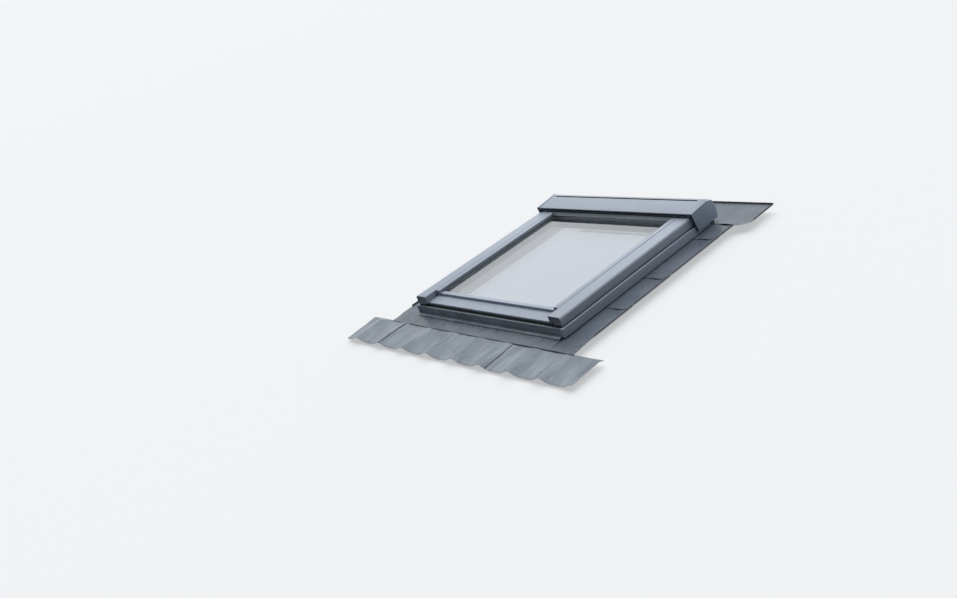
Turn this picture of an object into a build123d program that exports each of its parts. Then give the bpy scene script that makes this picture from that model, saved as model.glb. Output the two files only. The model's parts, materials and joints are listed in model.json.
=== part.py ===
from build123d import *
import os
from math import cos, hypot, pi

os.makedirs("parts", exist_ok=True)

# A centre-pivot roof window with its cladding and flashing, in millimetres.
# X runs across the roof, Y up the slope and Z outwards, square to the glass.
# Heights are taken from the underside of the timber frame. Lengths up the slope
# are taken from the lower ends of the side covers, and each piece is moved at
# the end so that the origin is under the middle of the whole.

# The frame of timber, wrapped in its foam collar
window_width = 1140.0
window_length = 1180.0
collar_start = -8.0
collar_thickness = 32.0
collar_floor = 34.0
collar_top = 88.0
jamb_width = 50.0
jamb_depth = 105.0
rail_width = 45.0

# The sash and the gaps round it
side_gap = 7.0
end_gap = 8.0
sash_floor = 40.0
ledge_height = 100.0
stile_width = 56.0
stile_clearance = 8.0
stile_set_back = 4.0
bottom_rail_width = 60.0
top_rail_width = 75.0
fit_gap = 0.3

# The double glazing
glass_thickness = 4.0
cavity = 16.0
tape_thickness = 2.0
glass_side_play = 2.0
rebate_wall = 15.0
glass_bottom_margin = 7.0
glass_top_margin = 55.0
gasket_height = 2.0
gasket_show = 0.6
spacer_inset = 2.0
spacer_width = 10.0

# The cladding of lacquered sheet
sheet = 1.2
hood_sheet = 1.5
cladding_rise = 18.0
cover_inset = 3.0
cover_batter = 2.0
cover_skirt_bottom = 95.0
cover_end_gap = 22.0
cover_foot = 15.0
edge_radius = 12.0
cladding_width = 30.0
cladding_leg_drop = 16.0
cladding_play = 0.2
strip_depth = 24.0
strip_drop = 12.0
bottom_cover_lip = 8.0
bottom_cover_fall = 7.0
bottom_cover_drop = 13.0
top_cover_depth = 85.0
top_cover_slope = 20.0
top_cover_lift = 3.0
skirt_clearance = 7.0
skirt_bottom = 45.0
skirt_ledge = 91.2
front_face = -14.0
front_inset = 13.0
front_lip_height = 93.0
front_lip_width = 3.5
front_ledge_height = 90.0
front_flange_reach = 20.0
cap_recess = 3.0
cap_thickness = 6.0

# The hood over the top end, placed from the end of the collar
hood_reach = 154.0
hood_clearance = 5.0
hood_face = 17.0
hood_ridge_inset = 12.0
hood_rise = 16.0
hood_shoulder_reach = 24.0
hood_shoulder_drop = 5.0
hood_back_reach = 37.0
hood_back_drop = 51.0
hood_heel_reach = 30.0
hood_heel = 62.0
hood_foot_inset = 70.0
hood_foot = 30.0
hood_inset = 4.0
hood_groove_inset = 21.0
hood_groove_width = 8.0
hood_groove_depth = 6.0
hood_groove_margin = 30.0
hood_cut_play = 5.0
hood_cap_thickness = 20.0
hood_cap_wall = 3.0
hood_cap_rim = 2.5
hood_cap_bevel = 5.0
hood_cap_shoulder_bevel = 9.0
hood_cap_clearance = 2.0
hood_tab_length = 40.0
hood_tab_reach = 12.0

# The pivots, at half length and half depth
pivot_height = 84.0
pivot_plate = 3.0
pivot_plate_half = 45.0
pivot_plate_floor = 58.0
pivot_plate_top = 104.0
pivot_pin_radius = 5.0
pivot_bush_radius = 9.0
pivot_bush_length = 18.0
running_fit = 0.05

# The seals round the sash
seal_bottom = 66.0
seal_height = 12.0
seal_side_clearance = 0.4
seal_end_thickness = 3.2
seal_pivot_gap = 60.0

# The handle and its latch, in the bottom rail
handle_inset = 30.0
handle_plate = 4.0
handle_plate_length = 64.0
handle_plate_width = 30.0
handle_length = 112.0
handle_width = 18.0
handle_grip_depth = 10.0
handle_standoff = 12.0
spindle_radius = 4.0
spindle_depth = 5.0
latch_bottom = 46.0
latch_height = 8.0
latch_width = 16.0
latch_length = 24.0
latch_room = 4.0
latch_rest = 0.5
latch_clearance = 0.3
keeper_plate = 1.5
keeper_depth = 12.0
keeper_margin = 12.0

# The ventilation flap with its bar, along the top rail
flap_margin = 55.0
flap_inset = 9.0
flap_width = 32.0
flap_axis_z = 35.7
flap_barrel_radius = 4.0
flap_pin_radius = 2.0
flap_pin_length = 8.0
flap_slot_margin = 20.0
flap_slot_inset = 31.0
flap_slot_width = 12.0
bearing_length = 12.0
bar_margin = 70.0
bar_inset = 61.0
bar_width = 12.0
bar_floor = 14.0
bar_height = 10.0
bar_arm_width = 14.0
bar_arm_share = 0.8
bar_arm_sheet = 4.0
bar_arm_lap = 20.0

# The barrel bolt that holds the turned sash
bolt_margin = 19.0
bolt_height = 32.0
bolt_radius = 4.0
bolt_length = 46.0
bolt_set_back = 1.0
bolt_knob_radius = 7.0
bolt_knob_length = 6.0
bolt_box_width = 22.0
bolt_box_length = 22.0
bolt_box_inset = 3.0
bush_wall = 2.0
bush_length = 16.0

# The flashing
flashing_sheet = 1.0
flashing_level = 38.0
flashing_width = 145.0
flashing_turn_up = 10.0
upstand_height = 44.0
upstand_clearance = 1.0
head_level = 44.0
head_corner = 48.0
crease_y = -110.0
crease_level = 33.0
soaker_shares = (0.244, 0.496, 0.846)
soaker_lap = 45.0
soaker_corner_share = 0.41
lap_rise = 1.1
gutter_lap = 15.0
gutter_depth = 228.0
gutter_overhang = 230.0
gutter_upstand_gap = 2.0
apron_overhang = 330.0
apron_edge = -320.0
apron_sheet = 1.6
apron_seams = (-600.0, 300.0)
apron_overlap = 25.0
apron_top = -104.0
wave_pitch = 212.0
wave_crest_x = 47.0
wave_sharpness = 3
crease_wave = 0.8
edge_wave = 20.0
edge_level = 14.0
apron_lap = 2.1

# The fixings
bracket_sheet = 2.5
bracket_length = 110.0
bracket_floor = 6.0
bracket_ledge = 32.5
bracket_reach = 62.0
bracket_hole_reach = 34.0
bracket_hole_radius = 3.5
bracket_inset = 160.0
screw_radius = 2.5
screw_length = 34.0
screw_head_radius = 5.0
screw_head = 2.5
screw_spacing = 70.0
front_screw_share = 0.57
front_screw_head = 4.5

# Places worked out from the sizes: the timber and the sash
half_width = window_width / 2
collar_end = collar_start + window_length
timber_half = half_width - collar_thickness
timber_start = collar_start + collar_thickness
timber_end = collar_end - collar_thickness
jamb_face = timber_half - jamb_width
sill_face = timber_start + rail_width
sill_height = front_lip_height - sheet
head_face = timber_end - rail_width
stile_face = jamb_face - side_gap
stile_inner = stile_face - stile_width
sash_start = sill_face + end_gap
sash_end = head_face - end_gap
pivot_y = (timber_start + timber_end) / 2

# Places of the glazing and the cladding
rebate_x = stile_face - rebate_wall
glass_half = rebate_x - glass_side_play
glass_start = sash_start + glass_bottom_margin
glass_end = sash_end - glass_top_margin
inner_pane_floor = ledge_height + tape_thickness
spacer_floor = inner_pane_floor + glass_thickness
outer_pane_floor = spacer_floor + cavity
glass_top = outer_pane_floor + glass_thickness
gasket_top = glass_top + gasket_height
top_rail_height = glass_top
cover_top = gasket_top + cladding_rise
stile_top = cover_top - stile_clearance
cladding_leg_bottom = gasket_top - cladding_leg_drop
strip_foot = gasket_top - strip_drop
bottom_cover_edge = strip_foot - bottom_cover_fall
top_cover_height = cover_top + top_cover_lift
cladding_inner = stile_face - cladding_width
cladding_outer = stile_face + cladding_play + sheet
cladding_start = sash_start + 1
gasket_width = glass_half - cladding_inner + gasket_show
strip_start = sash_start + 2
top_cover_start = sash_end - top_cover_depth
top_cover_rise = top_cover_start + top_cover_slope
cover_inner = jamb_face - cover_inset
cover_edge = half_width - cover_inset
cover_end = collar_end - cover_end_gap
cover_foot_x = cover_inner + cover_foot
skirt_face = half_width + skirt_clearance
front_half_width = half_width - front_inset

# Places of the hood
hood_soffit = top_cover_height + hood_clearance
hood_lip = hood_soffit + hood_face
hood_ridge = hood_lip + hood_rise
hood_shoulder = hood_lip - hood_shoulder_drop
hood_back = hood_lip - hood_back_drop
hood_half_width = half_width - hood_inset
hood_groove_end = hood_half_width - hood_groove_margin
hood_front = collar_end - hood_reach
hood_ridge_y = collar_end - hood_ridge_inset
hood_groove_y = hood_ridge_y - hood_groove_inset
hood_shoulder_y = collar_end + hood_shoulder_reach
hood_back_y = collar_end + hood_back_reach
hood_heel_y = collar_end + hood_heel_reach
hood_foot_y = collar_end - hood_foot_inset

# Places of the handle, the flap and the bolt
handle_y = sash_start + handle_inset
latch_start = sash_start + latch_rest
flap_half_length = stile_inner - flap_margin
flap_axis_y = sash_end - flap_inset
flap_start = flap_axis_y - flap_width
flap_slot_half = flap_half_length - flap_slot_margin
flap_slot_start = sash_end - flap_slot_inset
bar_half_length = flap_half_length - bar_margin
bar_start = sash_end - bar_inset
bolt_x = stile_inner - bolt_margin
bolt_rest = sash_end - bolt_set_back
bolt_start = bolt_rest - bolt_length
bolt_box_end = sash_end - bolt_box_inset
bolt_box_start = bolt_box_end - bolt_box_length

# Places of the flashing and the fixings
upstand_x = half_width + upstand_clearance
flashing_reach = upstand_x + flashing_width
soaker_corner = flashing_width * soaker_corner_share
soaker_edges = [collar_start + window_length * share for share in soaker_shares]
corner_end = soaker_edges[0] + soaker_lap
gutter_start = collar_end - gutter_lap
gutter_end = collar_end + gutter_depth
gutter_half_width = half_width + gutter_overhang
gutter_upstand_y = collar_end + gutter_upstand_gap
apron_half_width = half_width + apron_overhang
bracket_hole_x = timber_half + bracket_hole_reach
front_screw_x = front_half_width * front_screw_share
origin_y = (apron_edge + gutter_end) / 2


def block(x0, x1, y0, y1, z0, z1):
    """A box between two corners."""
    size = Vector(x1 - x0, y1 - y0, z1 - z0)
    middle = Vector((x0 + x1) / 2, (y0 + y1) / 2, (z0 + z1) / 2)
    return Pos(middle) * Box(size.X, size.Y, size.Z)


def ring(half, y0, y1, wall, y_wall, z0, z1):
    """A flat rectangular ring, with its own wall at the sides and at the ends."""
    outer = block(-half, half, y0, y1, z0, z1)
    inner_half = half - wall
    return outer - block(-inner_half, inner_half, y0 + y_wall, y1 - y_wall, z0 - 1, z1 + 1)


def offset_points(points, distance):
    """The corners of a line moved sideways, to the right of its run."""
    moved = []
    for i, (u, v) in enumerate(points):
        normals = []
        for a, b in ((i - 1, i), (i, i + 1)):
            if a >= 0 and b < len(points):
                du = points[b][0] - points[a][0]
                dv = points[b][1] - points[a][1]
                length = hypot(du, dv)
                normals.append((dv / length, -du / length))
        nu = sum(n[0] for n in normals) / len(normals)
        nv = sum(n[1] for n in normals) / len(normals)
        scale = distance / (nu * nu + nv * nv)
        moved.append((u + nu * scale, v + nv * scale))
    return moved


def turn(a, b, c):
    """Positive where the line a, b, c turns to the right."""
    return (b[1] - a[1]) * (c[0] - b[0]) - (b[0] - a[0]) * (c[1] - b[1])


def folded(points, thickness, radii):
    """The section of a folded sheet: its line, and the same line one thickness to the right."""
    other = offset_points(points, thickness)
    other_radii = []
    for i, radius in enumerate(radii):
        right = turn(points[i], points[i + 1], points[i + 2]) > 0
        other_radii.append(max(radius - thickness if right else radius + thickness, 0))
    line = FilletPolyline(*points, radius=radii)
    back = FilletPolyline(*other, radius=other_radii)
    ends = [Line(points[0], other[0]), Line(points[-1], other[-1])]
    return make_face([*line.edges(), *back.edges(), *ends])


def along_y(face, y0, y1):
    """A section drawn in X and Z, drawn out up the slope."""
    upright = Plane(origin=(0, y1, 0), x_dir=(1, 0, 0), z_dir=(0, -1, 0))
    return extrude(upright * face, y1 - y0)


def along_x(face, x0, x1):
    """A section drawn in Y and Z, drawn out across the slope."""
    upright = Plane(origin=(x0, 0, 0), x_dir=(0, 1, 0), z_dir=(1, 0, 0))
    return extrude(upright * face, x1 - x0)


def polygon(points):
    """A flat face from its corners."""
    return make_face(Polyline(*points, close=True).edges())


def pin_x(x0, x1, y, z, radius):
    """A round bar across the slope."""
    return Pos((x0 + x1) / 2, y, z) * Rot(0, 90, 0) * Cylinder(radius, abs(x1 - x0))


def pin_y(y0, y1, x, z, radius):
    """A round bar up the slope."""
    return Pos(x, (y0 + y1) / 2, z) * Rot(90, 0, 0) * Cylinder(radius, y1 - y0)


def pin_z(z0, z1, x, y, radius):
    """A round bar square to the glass."""
    return Pos(x, y, (z0 + z1) / 2) * Cylinder(radius, z1 - z0)


def mirrored(piece):
    """The same piece for the left side."""
    return mirror(piece, about=Plane.YZ)


def save(node, piece):
    """Write one piece, moved so that the whole stands over the origin."""
    export_step(Pos(0, -origin_y, 0) * piece, f"parts/{node}.step")


def save_pair(node, piece):
    """Write a piece of the right side and its twin on the left."""
    save(f"{node}_right", piece)
    save(f"{node}_left", mirrored(piece))


# Bracket places along the slope, the same on both sides
bracket_rows = (timber_start + bracket_inset, timber_end - bracket_inset)


def bracket_screw_rows():
    """Where the bracket screws enter the jambs."""
    return [row + side * screw_spacing / 2 for row in bracket_rows for side in (-1, 1)]


def bracket_screw_height():
    """The height of the screws in a bracket's upright leg."""
    return (bracket_floor + bracket_ledge - bracket_sheet) / 2


def make_jamb():
    """A jamb, bored for its pivot bush and its bracket screws."""
    jamb = block(jamb_face, timber_half, timber_start, timber_end, 0, jamb_depth)
    bush_end = jamb_face + pivot_bush_length
    jamb -= pin_x(jamb_face - 1, bush_end, pivot_y, pivot_height, pivot_bush_radius + running_fit)
    for row in bracket_screw_rows():
        tip = timber_half - screw_length
        jamb -= pin_x(tip, timber_half + 1, row, bracket_screw_height(), screw_radius + running_fit)
    return jamb


def make_frame():
    """The four members of the frame and the foam collar round them."""
    save_pair("frame_jamb", make_jamb())
    sill = block(-jamb_face, jamb_face, timber_start, sill_face, 0, sill_height)
    pocket_half = latch_width / 2 + 2
    sill -= block(-pocket_half, pocket_half, sill_face - keeper_depth, sill_face + 1,
                  latch_bottom - 2, latch_bottom + latch_height + 2)
    save("frame_bottom_rail", sill)
    head = block(-jamb_face, jamb_face, head_face, timber_end, 0, jamb_depth)
    head -= pin_y(head_face - 1, head_face + bush_length, bolt_x, bolt_height,
                  bolt_radius + fit_gap + bush_wall)
    save("frame_top_rail", head)
    collar = ring(half_width, collar_start, collar_end, collar_thickness, collar_thickness,
                  collar_floor, collar_top)
    save("insulation_collar", collar)


def make_brackets():
    """Four steel angles that hold the frame to the roof, and their screws."""
    brackets = []
    screws = []
    for row in bracket_rows:
        y0 = row - bracket_length / 2
        y1 = row + bracket_length / 2
        leg = block(timber_half, timber_half + bracket_sheet, y0, y1, bracket_floor, bracket_ledge)
        shelf = block(timber_half, timber_half + bracket_reach, y0, y1,
                      bracket_ledge - bracket_sheet, bracket_ledge)
        shelf -= pin_z(bracket_ledge - bracket_sheet - 1, bracket_ledge + 1, bracket_hole_x, row,
                       bracket_hole_radius)
        bracket = leg + shelf
        for side in (-1, 1):
            y = row + side * screw_spacing / 2
            face = timber_half + bracket_sheet
            bracket -= pin_x(timber_half - 1, face + 1, y, bracket_screw_height(),
                             screw_radius + running_fit)
            shank = pin_x(timber_half - screw_length + 1, face + 0.5, y, bracket_screw_height(),
                          screw_radius)
            head = pin_x(face, face + screw_head, y, bracket_screw_height(), screw_head_radius)
            screws.append(shank + head)
        brackets.append(bracket)
    save("mounting_brackets", Compound(brackets + [mirrored(piece) for piece in brackets]))
    save("bracket_screws", Compound(screws + [mirrored(piece) for piece in screws]))


def make_side_covers():
    """The fixed covers down both sides, with a plug in each lower end."""
    foot = jamb_depth
    section = folded(
        [(cover_foot_x, foot), (cover_inner, foot), (cover_inner, cover_top), (cover_edge, cover_top),
         (cover_edge + cover_batter, cover_skirt_bottom)],
        sheet, [2.0, 3.0, edge_radius])
    save_pair("side_cover", along_y(section, 0, cover_end))
    play = sheet + fit_gap
    plug = polygon([
        (cover_inner + play, foot + play), (cover_inner + play, cover_top - play - 2),
        (cover_inner + play + 2, cover_top - play), (cover_edge - edge_radius, cover_top - play),
        (cover_edge - play - 2, cover_top - edge_radius),
        (cover_edge + cover_batter - play, cover_skirt_bottom), (cover_foot_x + fit_gap, cover_skirt_bottom),
        (cover_foot_x + fit_gap, foot + play)])
    save_pair("side_cover_plug", along_y(plug, cap_recess, cap_recess + cap_thickness))


def make_lower_covers():
    """The skirts below the side covers, and the front cover across the lower end."""
    inner = skirt_face - sheet
    section = folded(
        [(timber_half, jamb_depth - 1), (timber_half, skirt_ledge - sheet), (inner, skirt_ledge - sheet),
         (inner, skirt_bottom)],
        -sheet, [1.0, 1.5])
    skirt = along_y(section, timber_start, cover_end)
    face = folded(
        [(half_width - 12, skirt_ledge - sheet), (inner, skirt_ledge - sheet), (inner, skirt_bottom)],
        -sheet, [1.5])
    skirt += along_y(face, front_face, timber_start)
    skirt += block(front_half_width + 1, inner + 0.5, front_face, front_face + sheet,
                   skirt_bottom + 1, skirt_ledge - 0.5)
    save_pair("lower_side_cover", skirt)

    lip = front_face
    lip_back = lip + front_lip_width
    step = timber_start - 2
    flange_y = lip - front_flange_reach
    section = folded(
        [(sill_face - 12, front_lip_height), (step, front_lip_height), (step, front_ledge_height),
         (lip_back, front_ledge_height), (lip_back, front_lip_height), (lip, front_lip_height),
         (lip, front_lip_height - 5), (lip + 2, front_lip_height - 7), (lip + 2, head_level + 6),
         (flange_y, head_level + 2.5), (flange_y, head_level + 0.5)],
        -sheet, [0.5, 0.3, 0.3, 0.4, 0.8, 0.5, 0.5, 1.0, 0.3])
    front = along_x(section, -front_half_width, front_half_width)
    over_jamb = block(jamb_face - fit_gap, half_width, timber_start - fit_gap, sill_face,
                      front_lip_height - 5, front_lip_height + 1)
    front -= over_jamb
    front -= mirrored(over_jamb)
    screw_y = (lip + flange_y) / 2
    screws = []
    for x in (-front_screw_x, front_screw_x):
        front -= pin_z(head_level - 2, head_level + 8, x, screw_y, screw_radius + running_fit)
        shank = pin_z(head_level + 0.5, head_level + 5, x, screw_y, screw_radius)
        screws.append(shank + pin_z(head_level + 5, head_level + 7, x, screw_y, front_screw_head))
    save("front_cover", front)
    save("front_cover_screws", Compound(screws))


def hood_section(grooved):
    """The folded section of the hood, with or without the groove before its ridge."""
    slope = (hood_ridge - hood_lip) / (hood_ridge_y - hood_front)

    def on_face(y):
        return hood_lip + slope * (y - hood_front)

    points = [(hood_foot_y + hood_foot, jamb_depth), (hood_foot_y, jamb_depth),
              (hood_foot_y, hood_soffit), (hood_front, hood_soffit), (hood_front, hood_lip)]
    radii = [2.0, 1.0, 2.0, 4.0]
    if grooved:
        near = hood_groove_y
        far = hood_groove_y + hood_groove_width
        points += [(near, on_face(near)), (near + 0.5, on_face(near) - hood_groove_depth),
                   (far - 0.5, on_face(far) - hood_groove_depth), (far, on_face(far))]
        radii += [1.8, 0.5, 0.5, 1.8]
    points += [(hood_ridge_y, hood_ridge), (hood_shoulder_y, hood_shoulder), (hood_back_y, hood_back),
               (hood_heel_y, hood_heel)]
    radii += [14.0, 10.0, 8.0]
    return folded(points, hood_sheet, radii)


def cap_outline(rim, bevel, shoulder_bevel):
    """The outline of a hood's end cap in Y and Z, proud of the hood by the rim, less its bevels."""
    return [(hood_front - rim, hood_lip + rim - bevel / 2),
            (hood_ridge_y - shoulder_bevel, hood_ridge + rim - shoulder_bevel),
            (hood_shoulder_y - bevel / 2, hood_shoulder + rim - bevel / 2),
            (hood_back_y + rim - bevel / 4, hood_back), (hood_heel_y + rim - bevel / 4, hood_heel),
            (hood_front + 2 * bevel + 10, hood_heel + 2), (hood_front + 2, hood_soffit - 6)]


def make_hood():
    """The hood over the top end, and the moulded cap on each of its ends."""
    hood = along_x(hood_section(True), -hood_groove_end, hood_groove_end)
    end = along_x(hood_section(False), hood_groove_end, hood_half_width)
    hood += end + mirrored(end)
    play = hood_cut_play
    over_cover = block(cover_inner - 1, hood_half_width + 1, hood_foot_y - play,
                       hood_foot_y + hood_foot + play, jamb_depth - play, cover_top + play)
    hood -= over_cover
    hood -= mirrored(over_cover)
    save("hood", hood)


def make_hood_caps():
    """The moulded cap on each end of the hood: bevelled along its top, and open over the side covers."""
    face_x = hood_half_width + hood_cap_thickness
    base = cap_outline(hood_cap_rim, 0, 0)
    front = cap_outline(hood_cap_rim, hood_cap_bevel, hood_cap_shoulder_bevel)
    wires = []
    for x, outline in ((hood_half_width, base), (face_x, front)):
        wires.append(Wire.make_polygon([Vector(x, y, z) for y, z in outline], close=True))
    shell = Solid.make_loft(wires, True)
    inset = offset_points([front[-1], *front, front[0]], hood_cap_wall)[1:-1]
    shell -= along_x(polygon(inset), hood_half_width - 1, face_x - hood_cap_wall)
    shell -= block(hood_half_width - 1, skirt_face + hood_cap_clearance, hood_front - 10,
                   gutter_upstand_y + hood_cap_clearance, skirt_bottom, cover_top + hood_cut_play)
    tab_floor = hood_soffit + hood_sheet + fit_gap
    tab = block(hood_half_width - hood_tab_reach, face_x - 1, hood_foot_y, hood_foot_y + hood_tab_length,
                tab_floor, tab_floor + hood_cap_wall)
    save_pair("hood_end_cap", shell + tab)


def make_seals():
    """Two rubber seals in the frame, stopped short of the pivots."""
    inner = cladding_outer + seal_side_clearance
    top = seal_bottom + seal_height
    for node, y0, y1, end0, end1 in (
            ("lower_frame_seal", sill_face, pivot_y - seal_pivot_gap, sill_face, sill_face + seal_end_thickness),
            ("upper_frame_seal", pivot_y + seal_pivot_gap, head_face, head_face - seal_end_thickness, head_face)):
        leg = block(inner, jamb_face, y0, y1, seal_bottom, top)
        across = block(-jamb_face, jamb_face, end0, end1, seal_bottom, top)
        save(node, across + leg + mirrored(leg))


def make_sash():
    """The timber members of the sash."""
    stile = block(stile_inner, stile_face, sash_start, sash_end, sash_floor, ledge_height)
    stile += block(rebate_x, stile_face, sash_start + stile_set_back, sash_end, ledge_height, stile_top)
    save_pair("sash_stile", stile)

    rail = block(-stile_inner, stile_inner, sash_start, sash_start + bottom_rail_width, sash_floor, ledge_height)
    play = latch_clearance
    channel_half = latch_width / 2 + play
    rail -= block(-channel_half, channel_half, sash_start - 1, latch_start + latch_length + latch_room,
                  latch_bottom - play, latch_bottom + latch_height + play)
    rail -= pin_z(sash_floor - 1, sash_floor + spindle_depth + 1, 0, handle_y, spindle_radius + running_fit)
    save("sash_bottom_rail", rail)

    top_start = sash_end - top_rail_width
    rail = block(-stile_inner, stile_inner, top_start, sash_end, sash_floor, ledge_height)
    rail += block(-rebate_x, rebate_x, glass_end + glass_side_play, sash_end, ledge_height, top_rail_height)
    rail -= block(-flap_slot_half, flap_slot_half, flap_slot_start, flap_slot_start + flap_slot_width,
                  sash_floor - 1, top_rail_height + 1)
    save("sash_top_rail", rail)


def make_glazing():
    """The sealed double-glazed unit, its tape and its outer gasket."""
    y0 = glass_start
    y1 = glass_end
    save("inner_pane", block(-glass_half, glass_half, y0, y1, inner_pane_floor, spacer_floor))
    save("outer_pane", block(-glass_half, glass_half, y0, y1, outer_pane_floor, glass_top))
    inset = spacer_inset
    save("pane_spacer", ring(glass_half - inset, y0 + inset, y1 - inset, spacer_width, spacer_width,
                             spacer_floor, outer_pane_floor))
    tape_width = glass_half - stile_inner - 2
    save("glazing_tape", ring(glass_half, y0, y1, tape_width, 16, ledge_height, inner_pane_floor))
    save("glazing_gasket", ring(glass_half, y0, y1, gasket_width, strip_depth - 8, glass_top, gasket_top))


def make_sash_cladding():
    """The lacquered sheet covers that turn with the sash."""
    section = folded(
        [(cladding_inner, gasket_top), (cladding_inner, cover_top), (cladding_outer, cover_top),
         (cladding_outer, cladding_leg_bottom)],
        sheet, [3.0, 2.0])
    side = along_y(section, cladding_start, sash_end)
    save_pair("sash_side_cladding", side)

    inner = cladding_inner - fit_gap
    section = folded(
        [(strip_start + strip_depth, gasket_top + sheet), (strip_start, gasket_top + sheet),
         (strip_start, strip_foot)],
        -sheet, [1.5])
    save("bottom_glazing_strip", along_x(section, -inner, inner))

    leg = strip_start + sheet + 2
    section = folded(
        [(leg, ledge_height), (leg, strip_foot - fit_gap), (bottom_cover_lip, bottom_cover_edge),
         (bottom_cover_lip, bottom_cover_edge - bottom_cover_drop)],
        -sheet, [1.5, 3.0])
    cover = along_x(section, -cladding_outer, cladding_outer)
    notch = block(inner, cladding_outer + 1, cladding_start - fit_gap, leg + sheet + 1,
                  ledge_height - 1, cover_top)
    cover -= notch
    cover -= mirrored(notch)
    save("sash_bottom_cover", cover)


def make_top_cover():
    """The cover over the top rail, sloped towards the glass."""
    section = folded(
        [(top_cover_start, gasket_top), (top_cover_start, gasket_top + 5), (top_cover_rise, top_cover_height),
         (sash_end, top_cover_height), (sash_end, top_rail_height)],
        sheet, [1.0, 3.0, 2.0])
    inner = cladding_inner - fit_gap
    cover = along_x(section, -inner, inner)
    foot = block(-inner, inner, sash_end - 12, sash_end - sheet + 0.2, top_rail_height, top_rail_height + sheet)
    save("sash_top_cover", cover + foot)


def make_pivots():
    """A plate with a bush in each jamb, and a plate with a pin on each stile."""
    y0 = pivot_y - pivot_plate_half
    y1 = pivot_y + pivot_plate_half
    z0 = pivot_plate_floor
    z1 = pivot_plate_top
    plate = fillet(block(jamb_face - pivot_plate, jamb_face, y0, y1, z0, z1).edges().filter_by(Axis.X), 8)
    bush_end = jamb_face + pivot_bush_length
    plate += pin_x(jamb_face, bush_end, pivot_y, pivot_height, pivot_bush_radius)
    bore = pivot_pin_radius + running_fit
    plate -= pin_x(jamb_face - pivot_plate - 1, bush_end - 2, pivot_y, pivot_height, bore)
    save_pair("frame_pivot", plate)
    plate = fillet(block(stile_face, stile_face + pivot_plate, y0, y1, z0, z1).edges().filter_by(Axis.X), 8)
    pin = pin_x(stile_face + pivot_plate, bush_end - 3, pivot_y, pivot_height, pivot_pin_radius)
    save_pair("sash_pivot", plate + pin)


def make_handle():
    """The turning handle on the bottom rail, its latch and the keeper in the frame."""
    half = handle_plate_length / 2
    low = sash_floor - handle_plate
    plate = block(-half, half, handle_y - handle_plate_width / 2, handle_y + handle_plate_width / 2,
                  low, sash_floor)
    plate = fillet(plate.edges().filter_by(Axis.Z), 6)
    plate -= pin_z(low - 1, sash_floor + 1, 0, handle_y, spindle_radius + running_fit)
    save("handle_plate", plate)
    grip_top = low - handle_standoff
    grip = block(-handle_width / 2, handle_width / 2, handle_y - handle_width / 2,
                 handle_y + handle_length - handle_width / 2, grip_top - handle_grip_depth, grip_top)
    grip = fillet(grip.edges().filter_by(Axis.Z), handle_width / 2 - 0.5)
    grip = fillet(grip.faces().sort_by(Axis.Z)[0].edges(), 3)
    neck = pin_z(grip_top - 2, low - fit_gap, 0, handle_y, handle_width / 2 - 1)
    spindle = pin_z(low - 1, sash_floor + spindle_depth, 0, handle_y, spindle_radius)
    save("handle_lever", grip + neck + spindle)

    tongue = block(-latch_width / 2, latch_width / 2, latch_start, latch_start + latch_length,
                   latch_bottom, latch_bottom + latch_height)
    tongue = chamfer(tongue.faces().sort_by(Axis.Y)[0].edges().filter_by(Axis.X), 1.5)
    save("latch_tongue", tongue)
    margin = keeper_margin
    keeper = block(-latch_width / 2 - margin, latch_width / 2 + margin, sill_face, sill_face + keeper_plate,
                   latch_bottom - 5, latch_bottom + latch_height + 5)
    slot_half = latch_width / 2 + 1
    keeper -= block(-slot_half, slot_half, sill_face - 1, sill_face + keeper_plate + 1,
                    latch_bottom - 1, latch_bottom + latch_height + 1)
    save("latch_keeper", keeper)


def make_flap():
    """The ventilation flap, the bar that pulls it and its two bearings."""
    floor = flap_axis_z - flap_barrel_radius
    ceiling = flap_axis_z + flap_barrel_radius
    leaf = block(-flap_half_length, flap_half_length, flap_start, flap_axis_y, floor, ceiling)
    leaf = fillet(leaf.faces().sort_by(Axis.Y)[0].edges().filter_by(Axis.X), 2)
    leaf += pin_x(-flap_half_length, flap_half_length, flap_axis_y, flap_axis_z, flap_barrel_radius)
    end = flap_half_length + fit_gap + flap_pin_length
    leaf += pin_x(-end, end, flap_axis_y, flap_axis_z, flap_pin_radius)
    save("ventilation_flap", leaf)

    near = flap_half_length + fit_gap
    bearing = block(near, near + bearing_length, flap_axis_y - 8, sash_end, floor, sash_floor)
    bearing = fillet(bearing.edges().filter_by(Axis.X).group_by(Axis.Z)[0], 2)
    bearing -= pin_x(near - 1, near + flap_pin_length + fit_gap, flap_axis_y, flap_axis_z,
                     flap_pin_radius + running_fit)
    save("flap_bearings", Compound([bearing, mirrored(bearing)]))

    bar = block(-bar_half_length, bar_half_length, bar_start, bar_start + bar_width,
                bar_floor, bar_floor + bar_height)
    bar = fillet(bar.edges().filter_by(Axis.X), 3.5)
    for side in (-1, 0, 1):
        x = side * bar_half_length * bar_arm_share
        half = bar_arm_width / 2
        arm = block(x - half, x + half, bar_start + bar_arm_sheet, flap_start + bar_arm_lap,
                    bar_floor + bar_arm_sheet, floor)
        arm -= block(x - half - 1, x + half + 1, bar_start + bar_width + bar_arm_sheet,
                     flap_start + bar_arm_lap + 1, bar_floor - 1, floor - bar_arm_sheet)
        bar += arm
    save("control_bar", bar)


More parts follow.
